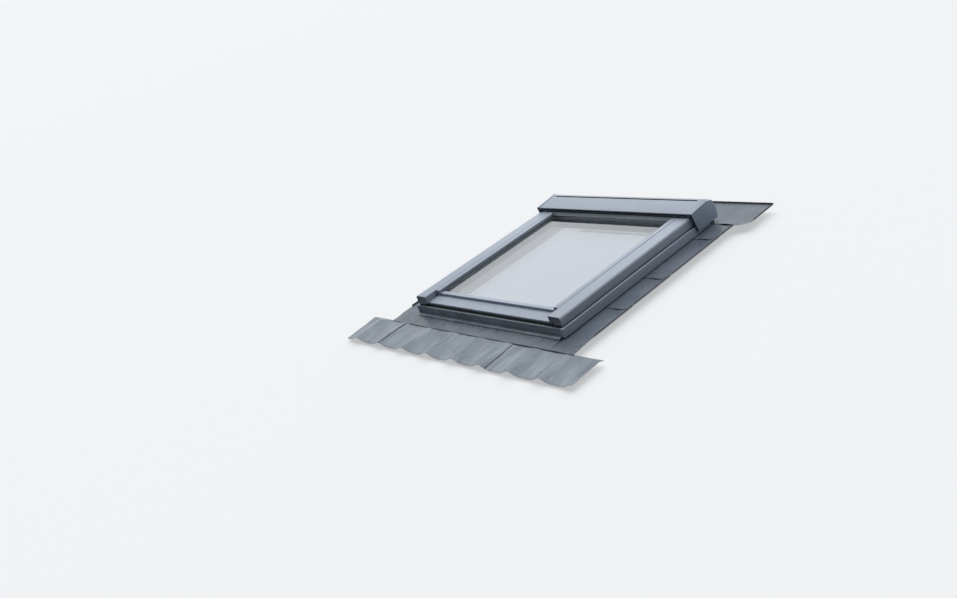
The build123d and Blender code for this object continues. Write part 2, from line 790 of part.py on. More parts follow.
def make_bolt():
    """The barrel bolt on the top rail, its box and the bush in the frame."""
    bolt = pin_y(bolt_start, bolt_rest, bolt_x, bolt_height, bolt_radius)
    bolt += pin_y(bolt_start, bolt_start + bolt_knob_length, bolt_x, bolt_height, bolt_knob_radius)
    bolt = chamfer(bolt.faces().sort_by(Axis.Y)[-1].edges(), 1)
    save("barrel_bolt", bolt)
    half = bolt_box_width / 2
    box = block(bolt_x - half, bolt_x + half, bolt_box_start, bolt_box_end, bolt_height - 8, sash_floor)
    box = fillet(box.edges().filter_by(Axis.Y).group_by(Axis.Z)[0], 4)
    box -= pin_y(bolt_box_start - 1, bolt_box_end + 1, bolt_x, bolt_height, bolt_radius + running_fit)
    save("bolt_box", box)
    bore = bolt_radius + fit_gap
    bush = pin_y(head_face, head_face + bush_length, bolt_x, bolt_height, bore + bush_wall)
    bush -= pin_y(head_face - 1, head_face + bush_length + 1, bolt_x, bolt_height, bore)
    save("bolt_bush", bush)


def wave(x, height):
    """The height of the dressed sheet above its troughs: broad troughs, narrow crests."""
    lift = (1 + cos(2 * pi * (x - wave_crest_x) / wave_pitch)) / 2
    return height * lift ** wave_sharpness


def wave_wire(x0, x1, y, level, height):
    """The outline of the dressed sheet's edge at one place down the slope."""
    steps = max(8, round((x1 - x0) / wave_pitch * 12))
    places = [x0 + (x1 - x0) * i / steps for i in range(steps + 1)]
    upper = [Vector(x, y, level + apron_sheet + wave(x, height)) for x in places]
    lower = [Vector(x, y, level + wave(x, height)) for x in places]
    edges = [Edge.make_spline(upper), Edge.make_line(upper[-1], lower[-1]),
             Edge.make_spline(lower[::-1]), Edge.make_line(lower[0], upper[0])]
    return Wire(edges)


def apron_piece(x0, x1, lift):
    """One width of the apron, flat at the crease and dressed to the roof at its edge."""
    tucked = crease_level - fit_gap - crease_wave - apron_sheet - apron_lap
    top = wave_wire(x0, x1, apron_top, tucked + lift, crease_wave)
    edge = wave_wire(x0, x1, apron_edge, edge_level + lift, edge_wave)
    return Solid.make_loft([top, edge], True)


def make_apron():
    """The three dressed widths of the apron, each lapped over the one to its left."""
    left, right = apron_seams
    save("apron_left", apron_piece(-apron_half_width, left + apron_overlap, -apron_lap))
    save("apron_middle", apron_piece(left, right + apron_overlap, 0))
    save("apron_right", apron_piece(right, apron_half_width, apron_lap))


def make_apron_head():
    """The flat head of the apron, which runs a little way up both sides."""
    thick = flashing_sheet
    back = collar_start - thick
    section = folded(
        [(back, head_level + upstand_height - 8), (back, head_level), (crease_y, crease_level)],
        thick, [2.0])
    head = along_x(section, -front_half_width, front_half_width)
    slope_start = collar_start - 2
    slab = polygon([(slope_start, flashing_level), (slope_start, flashing_level + thick),
                    (crease_y, crease_level + thick), (crease_y, crease_level)])
    side = along_x(slab, front_half_width, flashing_reach)
    side += block(upstand_x, flashing_reach, slope_start, corner_end, flashing_level, flashing_level + thick)
    side += block(upstand_x, upstand_x + thick, timber_start, soaker_edges[0] - fit_gap, flashing_level,
                  flashing_level + upstand_height)
    side += block(flashing_reach - thick, flashing_reach, collar_start + head_corner, corner_end,
                  flashing_level, flashing_level + flashing_turn_up)
    joint = polygon([(slope_start, head_level + thick / 2), (slope_start, flashing_level),
                     (crease_y, crease_level), (crease_y, crease_level + thick / 2)])
    cheek = along_x(joint, front_half_width - thick, front_half_width + thick)
    save("apron_head", head + side + mirrored(side) + cheek + mirrored(cheek))


def make_soakers():
    """The side flashings, each lapped over the one below it."""
    thick = flashing_sheet
    ends = [*soaker_edges[1:], gutter_start]
    for i, (y0, end) in enumerate(zip(soaker_edges, ends)):
        y1 = end + soaker_lap
        level = flashing_level + (i + 1) * lap_rise
        plate = block(upstand_x, flashing_reach, y0, y1, level, level + thick)
        corner = plate.edges().filter_by(Axis.Z).group_by(Axis.Y)[0].sort_by(Axis.X)[-1]
        plate = fillet(corner, soaker_corner)
        upstand_end = min(end - fit_gap, cover_end)
        plate += block(upstand_x, upstand_x + thick, y0, upstand_end, level, flashing_level + upstand_height)
        plate += block(flashing_reach - thick, flashing_reach, y0 + soaker_corner,
                       min(y1, gutter_start - fit_gap), level, level + flashing_turn_up)
        save_pair(f"side_flashing_{i + 1}", plate)


def make_gutter():
    """The back gutter behind the hood, turned up against the frame and at its edges."""
    thick = flashing_sheet
    level = flashing_level + (len(soaker_edges) + 1) * lap_rise
    reach = gutter_half_width
    plate = block(-reach, reach, gutter_start, gutter_end, level, level + thick)
    plate = fillet(plate.edges().filter_by(Axis.Z).group_by(Axis.Y)[0], soaker_corner)
    cut_half = skirt_face + 2
    plate -= block(-cut_half, cut_half, gutter_start - 1, gutter_upstand_y, level - 1, level + 2)
    rise = flashing_turn_up
    plate += block(-cut_half, cut_half, gutter_upstand_y, gutter_upstand_y + thick, level, collar_top)
    plate += block(-reach, reach, gutter_end - thick, gutter_end, level, level + rise)
    side = block(reach - thick, reach, gutter_start + soaker_corner, gutter_end, level, level + rise)
    save("back_gutter", plate + side + mirrored(side))


make_frame()
make_brackets()
make_side_covers()
make_lower_covers()
make_hood()
make_hood_caps()
make_seals()
make_sash()
make_glazing()
make_sash_cladding()
make_top_cover()
make_pivots()
make_handle()
make_flap()
make_bolt()
make_apron()
make_apron_head()
make_soakers()
make_gutter()
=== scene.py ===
"""A centre-pivot roof window with its cladding and flashing, dressed and lit as in a studio."""
import json
import logging
import math
import random
from collections.abc import Callable
from dataclasses import dataclass, field

import bmesh
import bpy
from bpy.types import Material, MeshPolygon, Node, NodeSocket, NodeTree, Object
from mathutils import Matrix, Quaternion, Vector, noise


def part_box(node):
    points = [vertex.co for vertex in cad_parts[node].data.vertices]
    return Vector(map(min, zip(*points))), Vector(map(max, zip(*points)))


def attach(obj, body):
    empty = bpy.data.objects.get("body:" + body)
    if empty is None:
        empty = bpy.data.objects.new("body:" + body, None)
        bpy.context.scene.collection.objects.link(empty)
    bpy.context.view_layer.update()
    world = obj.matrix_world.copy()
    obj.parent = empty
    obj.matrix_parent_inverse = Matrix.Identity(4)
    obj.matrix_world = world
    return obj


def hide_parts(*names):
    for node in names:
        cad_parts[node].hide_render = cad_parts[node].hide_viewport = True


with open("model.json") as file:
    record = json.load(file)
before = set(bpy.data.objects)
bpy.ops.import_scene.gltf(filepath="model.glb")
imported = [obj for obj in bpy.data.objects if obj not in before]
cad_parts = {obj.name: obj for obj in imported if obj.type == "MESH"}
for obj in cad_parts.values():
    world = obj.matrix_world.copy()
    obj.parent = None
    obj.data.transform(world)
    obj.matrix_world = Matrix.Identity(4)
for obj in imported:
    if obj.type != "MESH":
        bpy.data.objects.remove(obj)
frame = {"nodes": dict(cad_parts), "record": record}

LOG = logging.getLogger("roof_window")
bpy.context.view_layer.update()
MM = 0.001
SHARP_ANGLE = math.radians(32)
FLAT_ANGLE = math.radians(0.5)
WELD = 0.01 * MM
AO_SAMPLES = 6
DEEPEST_GAP = 0.20
Colour = tuple[float, float, float]
Point = tuple[float, float, float]
Wave = tuple[float, float, float, float]
Span = tuple[float, float]
BODY_OF = {node: body for body, nodes in frame["record"]["behaviour"]["bodies"].items() for node in nodes}
SLOT_OF = {part["node"]: part["material_slot"] for part in frame["record"]["subparts"]}


class Graph:
    """A material's node tree, with short calls for the nodes that the finishes share."""

    def __init__(self, name: str) -> None:
        """Start an empty tree that ends in one Principled shader.

        Args:
            name: The material's name.
        """
        self.material = bpy.data.materials.new(name)
        self.material.use_nodes = True
        self.tree = self.material.node_tree
        self.shader = self.tree.nodes["Principled BSDF"]
        self.place = self.add("ShaderNodeTexCoord").outputs["Object"]

    def add(self, kind: str, inputs: dict[str, float | Point] | None = None, **settings: object) -> Node:
        """Add a node.

        Args:
            kind: Its Blender type.
            inputs: Constants for its inputs.
            settings: Attributes to set on it.

        Returns:
            The new node.
        """
        node = self.tree.nodes.new(kind)
        for name, value in settings.items():
            setattr(node, name, value)
        for name, value in (inputs or {}).items():
            node.inputs[name].default_value = value
        return node

    def join(self, source: NodeSocket, target: NodeSocket) -> None:
        """Link one socket to another."""
        self.tree.links.new(source, target)

    def noise(self, scale: float, detail: float = 4.0, stretch: Point = (1, 1, 1), rough: float = 0.55,
              distortion: float = 0.0) -> NodeSocket:
        """Cloudy noise.

        Args:
            scale: Its scale per metre.
            detail: How many finer layers it has.
            stretch: The scale along each axis before that.
            rough: How strong the finer layers are.
            distortion: How far it is warped.

        Returns:
            The noise's value socket.
        """
        node = self.add("ShaderNodeTexNoise", {"Scale": scale, "Detail": detail, "Roughness": rough,
                                               "Distortion": distortion})
        spread = self.add("ShaderNodeMapping", {"Scale": stretch})
        self.join(self.place, spread.inputs["Vector"])
        self.join(spread.outputs["Vector"], node.inputs["Vector"])
        return node.outputs["Fac"]

    def ramp(self, source: NodeSocket, low: float, high: float, out_low: float = 0.0,
             out_high: float = 1.0) -> NodeSocket:
        """A value brought from one range to another, and held at its ends.

        Args:
            source: The value socket.
            low: Where the range starts.
            high: Where it ends.
            out_low: The value at its start.
            out_high: The value at its end.

        Returns:
            The new value's socket.
        """
        node = self.add("ShaderNodeMapRange", {"From Min": low, "From Max": high, "To Min": out_low,
                                               "To Max": out_high}, interpolation_type="SMOOTHSTEP")
        self.join(source, node.inputs["Value"])
        return node.outputs["Result"]

    def math(self, operation: str, first: NodeSocket,
             second: NodeSocket | float) -> NodeSocket:
        """Arithmetic on two values.

        Args:
            operation: The Math node's operation.
            first: The first value's socket.
            second: The second value, or its socket.

        Returns:
            The result's socket.
        """
        node = self.add("ShaderNodeMath", operation=operation)
        self.join(first, node.inputs[0])
        if isinstance(second, (int, float)):
            node.inputs[1].default_value = second
        else:
            self.join(second, node.inputs[1])
        return node.outputs["Value"]

    def mix(self, amount: NodeSocket, under: NodeSocket | Colour,
            over: NodeSocket | Colour) -> NodeSocket:
        """Two colours mixed.

        Args:
            amount: How much of the second shows.
            under: The first colour, or its socket.
            over: The second colour, or its socket.

        Returns:
            The colour's socket.
        """
        node = self.add("ShaderNodeMix", data_type="RGBA")
        self.join(amount, node.inputs["Factor"])
        colour_sockets = [s for s in node.inputs if s.type == "RGBA"]
        for value, target in zip((under, over), colour_sockets):
            if isinstance(value, tuple):
                target.default_value = (*value, 1.0)
            else:
                self.join(value, target)
        return next(s for s in node.outputs if s.type == "RGBA")

    def cover(self, under: NodeSocket | Colour, over: Colour, amount: float, cloud: NodeSocket, low: float,
              high: float) -> NodeSocket:
        """A colour with some of another laid over it, where a cloud of noise passes from low to high."""
        return self.mix(self.math("MULTIPLY", self.ramp(cloud, low, high), amount), under, over)

    def painted_gap_shade(self, unshaded: NodeSocket, shade_colour: Colour, reach: float, amount: float,
                 open_from: float = 0.75) -> NodeSocket:
        """A colour with painted shade in gaps and corners, darker the more closed in they are.

        Args:
            unshaded: The colour of the open surface.
            shade_colour: The colour of the painted shade.
            reach: How wide a gap still gets it, in metres.
            amount: How much of it covers the surface in the deepest gap.
            open_from: How open the surface is where none of it lies any more.

        Returns:
            The colour's socket.
        """
        # Painted shade: ambient occlusion darkens the colour where gaps and corners close in.
        node = self.add("ShaderNodeAmbientOcclusion", {"Distance": reach}, samples=AO_SAMPLES)
        depth = self.ramp(node.outputs["AO"], DEEPEST_GAP, open_from, amount, 0.0)
        return self.mix(depth, unshaded, shade_colour)

    def paint(self, colour: NodeSocket) -> None:
        """Send a colour to the shader."""
        self.join(colour, self.shader.inputs["Base Color"])

    def polish(self, cloud: NodeSocket, roughness: float, less: float, more: float,
               span: Span = (0.3, 0.75)) -> None:
        """Send the shader a roughness that goes less below and more above its usual value with the noise."""
        value = self.ramp(cloud, *span, roughness - less, roughness + more)
        self.join(value, self.shader.inputs["Roughness"])

    def relief(self, layers: list[tuple[NodeSocket, float, float]]) -> None:
        """Stack bumps on the surface.

        Args:
            layers: For each, its height's socket, its strength, and its depth in metres.
        """
        normal = None
        for height, strength, depth in layers:
            node = self.add("ShaderNodeBump", {"Strength": strength, "Distance": depth})
            self.join(height, node.inputs["Height"])
            if normal is not None:
                self.join(normal, node.inputs["Normal"])
            normal = node.outputs["Normal"]
        self.join(normal, self.shader.inputs["Normal"])

    def fixed(self, **values: float | Colour) -> None:
        """Set constants on the shader's own sockets.

        Args:
            values: Socket names, with underscores for spaces, and their values.
        """
        for name, value in values.items():
            socket = self.shader.inputs[name.replace("_", " ")]
            socket.default_value = (*value, 1.0) if isinstance(value, tuple) else value


@dataclass(frozen=True)
class SatinLacquer:
    """Coil-coated aluminium sheet: a satin blue-grey lacquer with rain marks, a little dust, and painted
    shade in its gaps and corners.
    """

    name: str = "satin_lacquer"
    tone: Colour = (0.375, 0.430, 0.510)
    dust: Colour = (0.50, 0.54, 0.59)
    # Real grime in streaks and specks; in the all-black copy of this lacquer it is part of the painted shade.
    grime_and_painted_shade: Colour = (0.17, 0.19, 0.22)
    shade: Colour = (0.395, 0.430, 0.525)
    gap_shade: Colour = (0.02, 0.022, 0.026)
    gap: float = 7 * MM
    open_from: float = 0.75
    roughness: float = 0.36

    def build(self) -> Material:
        """Make the material."""
        g = Graph(self.name)
        base = g.cover(self.tone, self.dust, 0.30, g.noise(2.2, 3.0), 0.35, 0.7)
        base = g.cover(base, self.shade, 0.55, g.noise(7.0, 2.0, distortion=0.4), 0.45, 0.62)
        base = g.cover(base, self.grime_and_painted_shade, 0.25, g.noise(1.0, 6.0, (46.0, 2.4, 20.0), 0.6), 0.56, 0.82)
        base = g.cover(base, self.dust, 0.35, g.noise(170.0, 3.0, rough=0.7), 0.60, 0.70)
        base = g.cover(base, self.grime_and_painted_shade, 0.30, g.noise(120.0, 3.0, (1.0, 1.0, 2.3), 0.7), 0.60, 0.72)
        # Painted shade: the lacquer turns near black in gaps and corners.
        g.paint(g.painted_gap_shade(base, self.gap_shade, self.gap, 0.96, self.open_from))
        g.polish(g.noise(6.0, 5.0), self.roughness, 0.05, 0.09)
        g.relief([(g.noise(3.0, 2.0), 0.10, 0.004), (g.noise(620.0, 2.0), 0.05, 0.0002)])
        g.fixed(Specular_IOR_Level=0.20, Coat_Weight=0.03, Coat_Roughness=0.2)
        return g.material


@dataclass(frozen=True)
class WeatheredFlashing:
    """Dark coated flashing sheet, dulled by weather, with pale lime marks, slight dents, and painted shade in
    its gaps and where parts stand close over it.
    """

    name: str = "weathered_flashing"
    tone: Colour = (0.108, 0.130, 0.164)
    bloom: Colour = (0.180, 0.205, 0.243)
    lime: Colour = (0.52, 0.54, 0.53)
    # Real grime, in streaks down the slope.
    grime_and_painted_shade: Colour = (0.06, 0.067, 0.072)
    gap_shade: Colour = (0.015, 0.016, 0.017)
    roughness: float = 0.30

    def build(self) -> Material:
        """Make the material."""
        g = Graph(self.name)
        base = g.cover(self.tone, self.bloom, 0.4, g.noise(5.0, 5.0), 0.38, 0.72)
        base = g.cover(base, self.grime_and_painted_shade, 0.35, g.noise(1.0, 5.0, (34.0, 3.0, 12.0), 0.6), 0.55, 0.8)
        base = g.cover(base, self.lime, 0.35, g.noise(38.0, 3.0, rough=0.7), 0.7, 0.78)
        # Painted shade, reaching 30 mm: dark in gaps and where other parts stand close over the sheet.
        g.paint(g.painted_gap_shade(base, self.gap_shade, 30 * MM, 0.9))
        g.polish(g.noise(9.0, 5.0), self.roughness, 0.08, 0.14)
        g.relief([(g.noise(7.0, 3.0), 0.35, 0.004), (g.noise(1.0, 3.0, (38.0, 7.0, 4.0), 0.6), 0.30, 0.003),
                  (g.noise(420.0, 3.0), 0.10, 0.0003)])
        g.fixed(Specular_IOR_Level=0.62)
        return g.material


@dataclass(frozen=True)
class DressedSheet:
    """The soft apron sheet: matt grey, pleated fine and dressed to the tiles by hand, with painted shade in
    its creases and painted shadow lines at its laps.
    """

    name: str = "dressed_sheet"
    tone: Colour = (0.178, 0.212, 0.256)
    worn: Colour = (0.335, 0.380, 0.436)
    rub: Colour = (0.43, 0.475, 0.53)
    # Real grime, in blotches drawn out down the slope.
    grime_and_painted_shade: Colour = (0.08, 0.09, 0.10)
    gap_shade: Colour = (0.015, 0.016, 0.017)
    roughness: float = 0.29
    pleat_pitch: float = 4.5 * MM
    lap_shadow_lines: Span = (-0.5810, 0.3020)
    lap_shadow_width: float = 2.0 * MM

    def laps(self, g: Graph) -> NodeSocket:
        """A painted shadow line just beyond the edge of each lap, on the sheet below.

        Args:
            g: The material's graph.

        Returns:
            A value that is near 1 on the lines.
        """
        split = g.add("ShaderNodeSeparateXYZ")
        g.join(g.place, split.inputs["Vector"])
        lines = [g.math("COMPARE", split.outputs["X"], place) for place in self.lap_shadow_lines]
        for line in lines:
            line.node.inputs[2].default_value = self.lap_shadow_width
        return g.math("MULTIPLY", g.math("MAXIMUM", *lines), 0.85)

    def build(self) -> Material:
        """Make the material."""
        g = Graph(self.name)
        base = g.cover(self.tone, self.worn, 0.5, g.noise(1.0, 4.0, (14.0, 5.0, 5.0)), 0.36, 0.7)
        base = g.cover(base, self.rub, 0.5, g.noise(1.0, 4.0, (55.0, 5.0, 40.0), 0.55, 0.3), 0.52, 0.74)
        base = g.cover(base, self.grime_and_painted_shade, 0.4, g.noise(1.0, 5.0, (16.0, 3.0, 8.0), 0.6, 0.5), 0.55, 0.8)
        # Painted shadow lines at the laps.
        base = g.mix(self.laps(g), base, self.gap_shade)
        # Painted shade, faint, in creases and gaps.
        g.paint(g.painted_gap_shade(base, self.gap_shade, 6 * MM, 0.4))
        g.polish(g.noise(8.0, 3.0), self.roughness, 0.06, 0.10)
        waves = {"Scale": 2 * math.pi / (20 * self.pleat_pitch), "Distortion": 0.4}
        pleats = g.add("ShaderNodeTexWave", waves, bands_direction="X", wave_profile="SIN")
        g.join(g.place, pleats.inputs["Vector"])
        g.relief([(g.noise(1.0, 4.0, (24.0, 5.0, 8.0), 0.55), 0.5, 0.005),
                  (pleats.outputs["Fac"], 0.10, 0.0006), (g.noise(500.0, 2.0), 0.10, 0.0003)])
        g.fixed(Specular_IOR_Level=0.62)
        return g.material


@dataclass(frozen=True)
class MouldedPlastic:
    """Weather-proof moulded plastic with a fine spark-eroded grain, and painted shade in its gaps and
    corners.
    """

    name: str
    tone: Colour
    roughness: float = 0.5
    grain: float = 700.0
    gap_shade: Colour = (0.03, 0.031, 0.033)

    def build(self) -> Material:
        """Make the material."""
        g = Graph(self.name)
        pale = tuple(min(1.0, c * 1.3) for c in self.tone)
        dull = tuple(c * 0.72 for c in self.tone)
        base = g.cover(self.tone, pale, 0.35, g.noise(12.0, 4.0), 0.35, 0.72)
        base = g.cover(base, dull, 0.35, g.noise(30.0, 5.0, rough=0.65), 0.55, 0.8)
        # Painted shade in gaps and corners.
        g.paint(g.painted_gap_shade(base, self.gap_shade, 10 * MM, 0.85))
        g.polish(g.noise(20.0, 4.0), self.roughness, 0.06, 0.1)
        g.relief([(g.noise(self.grain, 3.0), 0.22, 0.0003)])
        g.fixed(Specular_IOR_Level=0.45)
        return g.material


@dataclass(frozen=True)
class LacqueredTimber:
    """Timber under white lacquer, with its grain just showing through."""

    name: str = "lacquered_timber"
    tone: Colour = (0.83, 0.838, 0.838)
    grain_tone: Colour = (0.745, 0.738, 0.715)
    roughness: float = 0.34
    along: Point = (160.0, 5.0, 160.0)

    def build(self) -> Material:
        """Make the material."""
        g = Graph(self.name)
        fibres = g.noise(1.0, 5.0, self.along, 0.6, 0.15)
        rings = g.noise(1.0, 3.0, tuple(s * 0.22 for s in self.along), 0.5, 0.5)
        base = g.cover(self.tone, self.grain_tone, 0.35, fibres, 0.45, 0.7)
        g.paint(g.cover(base, self.grain_tone, 0.3, rings, 0.5, 0.72))
        g.polish(fibres, self.roughness, 0.05, 0.1)
        g.relief([(fibres, 0.12, 0.0005), (g.noise(250.0, 2.0), 0.04, 0.0003)])
        g.fixed(Coat_Weight=0.3, Coat_Roughness=0.18)
        return g.material


@dataclass(frozen=True)
class FloatGlass:
    """Clear float glass with a faint cool tint and a trace of dust."""

    name: str = "float_glass"
    tint: Colour = (0.870, 0.905, 0.950)
    roughness: float = 0.004

    def build(self) -> Material:
        """Make the material."""
        g = Graph(self.name)
        g.fixed(Base_Color=self.tint, Transmission_Weight=1.0, IOR=1.5)
        g.fixed(Coat_Weight=1.0, Coat_Roughness=0.012)
        g.polish(g.noise(3.0, 5.0, rough=0.65), self.roughness, 0.0, 0.03, (0.45, 0.8))
        g.relief([(g.noise(1.6, 1.0), 0.03, 0.002)])
        return g.material


@dataclass(frozen=True)
class SoftRubber:
    """Black sealing rubber with a dry bloom."""

    name: str = "soft_rubber"
    tone: Colour = (0.022, 0.023, 0.024)
    bloom: Colour = (0.07, 0.072, 0.075)
    roughness: float = 0.62

    def build(self) -> Material:
        """Make the material."""
        g = Graph(self.name)
        g.paint(g.cover(self.tone, self.bloom, 0.6, g.noise(25.0, 5.0, rough=0.65), 0.42, 0.75))
        g.polish(g.noise(40.0, 3.0), self.roughness, 0.08, 0.12)
        g.relief([(g.noise(800.0, 2.0), 0.12, 0.0002)])
        return g.material


@dataclass(frozen=True)
class ClosedFoam:
    """The dark foam collar, with the skin and cells of cut foam."""

    name: str = "closed_foam"
    tone: Colour = (0.055, 0.057, 0.062)
    cell_tone: Colour = (0.11, 0.112, 0.118)
    cells: float = 420.0

    def build(self) -> Material:
        """Make the material."""
        g = Graph(self.name)
        cell = g.add("ShaderNodeTexVoronoi", {"Scale": self.cells})
        g.join(g.place, cell.inputs["Vector"])
        shade = g.ramp(cell.outputs["Distance"], 0.05, 0.6)
        g.paint(g.mix(shade, self.cell_tone, self.tone))
        g.relief([(cell.outputs["Distance"], 0.5, 0.0008), (g.noise(12.0, 3.0), 0.2, 0.003)])
        g.fixed(Roughness=0.85)
        return g.material


@dataclass(frozen=True)
class BrightSteel:
    """Zinc-plated steel with a fine brushing and dull patches."""

    name: str = "bright_steel"
    tone: Colour = (0.56, 0.57, 0.58)
    dull: Colour = (0.36, 0.37, 0.385)
    roughness: float = 0.32

    def build(self) -> Material:
        """Make the material."""
        g = Graph(self.name)
        brushing = g.noise(1.0, 4.0, (900.0, 30.0, 900.0), 0.6)
        g.paint(g.cover(self.tone, self.dull, 0.6, g.noise(35.0, 4.0, rough=0.65), 0.4, 0.75))
        g.polish(brushing, self.roughness, 0.06, 0.14, (0.3, 0.7))
        g.relief([(brushing, 0.06, 0.0002)])
        g.fixed(Metallic=1.0)
        return g.material


@dataclass(frozen=True)
class SpacerMetal:
    """The bare metal spacer in the edge of the glass."""

    name: str = "spacer_metal"
    tone: Colour = (0.60, 0.62, 0.64)
    roughness: float = 0.36

    def build(self) -> Material:
        """Make the material."""
        g = Graph(self.name)
        brushing = g.noise(1.0, 3.0, (40.0, 40.0, 700.0), 0.5)
        g.paint(g.mix(g.ramp(brushing, 0.35, 0.7), self.tone, tuple(c * 0.75 for c in self.tone)))
        g.polish(brushing, self.roughness, 0.05, 0.1, (0.3, 0.7))
        g.fixed(Metallic=0.9)
        return g.material


@dataclass(frozen=True)
class PowderCoat:
    """White powder coating with a light orange peel."""

    name: str = "powder_coat"
    tone: Colour = (0.80, 0.80, 0.785)
    roughness: float = 0.32

    def build(self) -> Material:
        """Make the material."""
        g = Graph(self.name)
        g.paint(g.cover(self.tone, tuple(c * 0.9 for c in self.tone), 0.25, g.noise(10.0, 4.0), 0.35, 0.75))
        g.polish(g.noise(60.0, 3.0), self.roughness, 0.04, 0.08)
        g.relief([(g.noise(420.0, 1.0), 0.10, 0.0002)])
        g.fixed(Coat_Weight=0.2, Coat_Roughness=0.2)
        return g.material


class Finishes:
    """Every finish of the window, made once, by the record's slot names."""

    def __init__(self) -> None:
        """Make the materials."""
        self.by_slot: dict[str, Material] = {
            "white_timber": LacqueredTimber().build(),
            "cladding": SatinLacquer().build(),
            "end_cap_plastic": MouldedPlastic("cap_plastic", (0.35, 0.41, 0.505), 0.46).build(),
            "flashing": WeatheredFlashing().build(),
            "apron_sheet": DressedSheet().build(),
            "foam": ClosedFoam().build(),
            "black_rubber": SoftRubber().build(),
            "glass": FloatGlass().build(),
            "spacer_metal": SpacerMetal().build(),
            "zinc_steel": BrightSteel().build(),
            "white_plastic": MouldedPlastic("white_plastic", (0.74, 0.74, 0.72), 0.4).build(),
            "white_metal": PowderCoat().build(),
        }
        self.rail_timber = LacqueredTimber("lacquered_timber_across", along=(5.0, 160.0, 160.0)).build()


def pair(name: str) -> tuple[str, str]:
    """The two nodes of a piece that is on both sides."""
    return f"{name}_left", f"{name}_right"


def uneven(wave: Wave, across: float, along: float) -> float:
    """A height from smooth noise, for a wave of a height, a scale across, a scale along and a layer."""
    height, scale_across, scale_along, layer = wave
    return height * noise.noise(Vector((across * scale_across, along * scale_along, layer)))


@dataclass
class Assembly:
    """A sub-assembly of the window, with the calls that all share: copies, edges, cuts and hand-over."""

    finishes: Finishes

    def pick(self, obj: Object) -> None:
        """Select one object alone and make it active.

        Args:
            obj: The object.
        """
        bpy.ops.object.select_all(action="DESELECT")
        obj.select_set(True)
        bpy.context.view_layer.objects.active = obj

    def open(self, obj: Object, mode: str) -> bmesh.types.BMesh:
        """Open one object in edit mode, with nothing selected.

        Args:
            obj: The object.
            mode: What is picked in it: VERT, EDGE or FACE.

        Returns:
            Its mesh, for picking.
        """
        self.pick(obj)
        bpy.ops.object.mode_set(mode="EDIT")
        bpy.ops.mesh.select_mode(type=mode)
        bpy.ops.mesh.select_all(action="DESELECT")
        return bmesh.from_edit_mesh(obj.data)

    def close(self) -> None:
        """Leave edit mode."""
        bpy.ops.object.mode_set(mode="OBJECT")

    def copy_of(self, node: str) -> Object:
        """A tidied copy of a modelled piece, with its flat faces whole.

        Args:
            node: The piece.

        Returns:
            The copy.
        """
        obj = bpy.data.objects.new(f"{node}_finished", frame["nodes"][node].data.copy())
        bpy.context.scene.collection.objects.link(obj)
        self.pick(obj)
        if obj.data.has_custom_normals:
            bpy.ops.mesh.customdata_custom_splitnormals_clear()
        self.open(obj, "VERT")
        bpy.ops.mesh.select_all(action="SELECT")
        bpy.ops.mesh.remove_doubles(threshold=WELD)
        bpy.ops.mesh.dissolve_limited(angle_limit=FLAT_ANGLE)
        self.close()
        return obj

    def round_edges(self, obj: Object, width: float, segments: int,
                    shortest: float = 8 * MM) -> None:
        """Round the sharp edges of an object.

        Args:
            obj: The object.
            width: How far from the edge the rounding starts.
            segments: Its steps.
            shortest: Edges shorter than this stay sharp.
        """
        mesh = self.open(obj, "EDGE")
        for edge in mesh.edges:
            sharp = len(edge.link_faces) == 2 and edge.calc_face_angle(0.0) > SHARP_ANGLE
            edge.select_set(sharp and edge.calc_length() > shortest)
        bmesh.update_edit_mesh(obj.data)
        bpy.ops.mesh.bevel(offset=width, segments=segments, affect="EDGES", clamp_overlap=True)
        self.close()
        self.smooth(obj)

    def smooth(self, obj: Object) -> None:
        """Shade an object smooth, apart from its sharp edges."""
        self.pick(obj)
        bpy.ops.object.shade_smooth_by_angle(angle=SHARP_ANGLE)

    def cut_away(self, obj: Object, size: Point, middle: Point, turn: float = 0.0) -> None:
        """Cut a block out of an object.

        Args:
            obj: The object.
            size: The block's size.
            middle: Its middle.
            turn: Its turn about the upright through it.
        """
        bpy.ops.mesh.primitive_cube_add(size=1.0, location=middle, rotation=(0, 0, turn))
        cutter = bpy.context.object
        cutter.scale = size
        bpy.ops.object.transform_apply()
        cut = obj.modifiers.new("cut", "BOOLEAN")
        cut.operation = "DIFFERENCE"
        cut.object = cutter
        self.pick(obj)
        bpy.ops.object.modifier_apply(modifier=cut.name)
        bpy.data.objects.remove(cutter)

    def repaint(self, obj: Object, finish: Material,
                chosen: Callable[[MeshPolygon], bool]) -> None:
        """Give some of an object's faces another finish.

        Args:
            obj: The object.
            finish: The other finish.
            chosen: Tells which faces get it.
        """
        obj.data.materials.append(finish)
        for face in obj.data.polygons:
            if chosen(face):
                face.material_index = len(obj.data.materials) - 1

    def hand_over(self, obj: Object, node: str, material: Material | None = None) -> None:
        """Let a finished piece stand for the modelled one.

        Args:
            obj: The finished piece.
            node: The modelled piece.
            material: Its finish, where it isn't its slot's own.
        """
        finish = material or self.finishes.by_slot[SLOT_OF[node]]
        for place in obj.material_slots:
            place.material = finish
        if not obj.material_slots:
            obj.data.materials.append(finish)
        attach(obj, BODY_OF[node])
        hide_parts(node)
        LOG.info("%s: %d faces", obj.name, len(obj.data.polygons))

    def soften(self, nodes: tuple[str, ...], width: float, segments: int = 2, shortest: float = 8 * MM,
               material: Material | None = None) -> None:
        """Finish pieces with their edges rounded.

        Args:
            nodes: The pieces.
            width: How far from the edge the rounding starts.
            segments: Its steps.
            shortest: Edges shorter than this stay sharp.
            material: Their finish, where it isn't their slot's own.
        """
        for node in nodes:
            obj = self.copy_of(node)
            self.round_edges(obj, width, segments, shortest)
            self.hand_over(obj, node, material)


